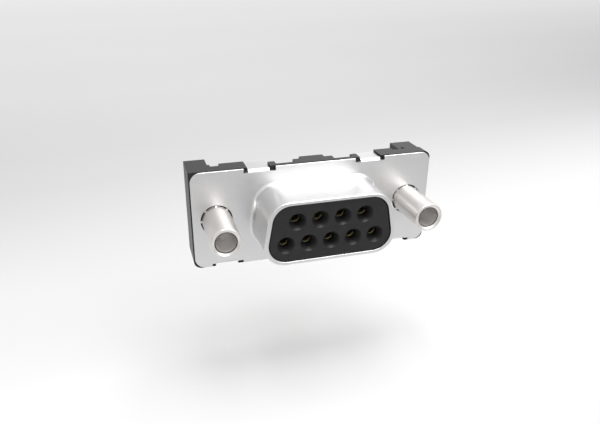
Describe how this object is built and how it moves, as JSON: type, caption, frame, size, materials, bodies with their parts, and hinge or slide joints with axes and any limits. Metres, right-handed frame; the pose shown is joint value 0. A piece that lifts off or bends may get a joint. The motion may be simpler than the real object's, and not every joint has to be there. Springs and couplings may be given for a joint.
{
  "type": "board-mount d-sub socket connector",
  "caption": "Straight board-mount D-sub socket: steel flange with a D-shaped shroud, black insulators, turned contacts and a round threaded sleeve at each end.",
  "frame": {"origin": "middle of the flange's front face, on the centre line of the D-shaped shroud", "axes": "-Y out of the mating face, +Z towards the narrow side of the D, +X along the connector, to the right when the mating face is seen from in front; the circuit board lies behind, across +Y"},
  "size_m": [0.031, 0.014, 0.0126],
  "materials": {
    "tinned_steel": "smooth, half bright",
    "nickel_sleeve": "bright nickel plate",
    "black_insulator": "satin",
    "black_housing": "satin",
    "gold_contact": "gold plate"
  },
  "bodies": {
    "root": {"front_shell": "tinned_steel", "front_insulator": "black_insulator", "rear_housing": "black_housing", "threaded_sleeve_left": "nickel_sleeve", "threaded_sleeve_right": "nickel_sleeve", "contact_1": "gold_contact", "contact_2": "gold_contact", "contact_3": "gold_contact", "contact_4": "gold_contact", "contact_5": "gold_contact", "contact_6": "gold_contact", "contact_7": "gold_contact", "contact_8": "gold_contact", "contact_9": "gold_contact"}
  },
  "joints": []
}
